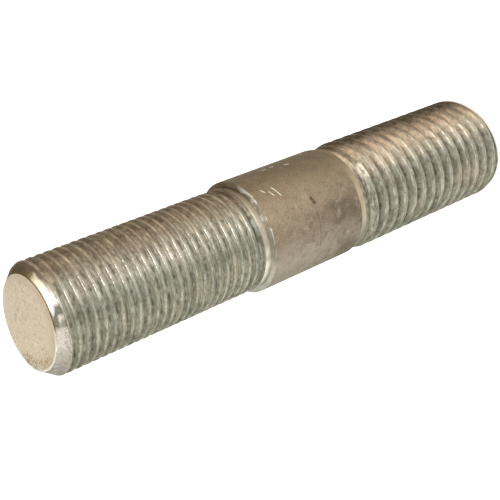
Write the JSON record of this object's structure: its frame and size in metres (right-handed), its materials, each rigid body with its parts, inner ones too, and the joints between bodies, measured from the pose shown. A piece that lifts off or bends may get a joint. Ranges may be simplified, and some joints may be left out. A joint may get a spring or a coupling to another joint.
{
  "type": "double ended stud",
  "caption": "One-piece steel stud with a right-hand coarse thread on one end, a plain shank in the middle and a left-hand fine thread on the other end.",
  "frame": {"origin": "centre of the coarse end's flat face, on the stud's axis", "axes": "+Z along the stud's axis, from the coarse end towards the fine end; the stud stands on its coarse end"},
  "size_m": [0.0196, 0.0196, 0.0986],
  "materials": {
    "zinc_plated_steel": "zinc plated and oiled, dull grey to olive brown, with bright worn crests"
  },
  "bodies": {
    "root": {"stud": "zinc_plated_steel"}
  },
  "joints": []
}
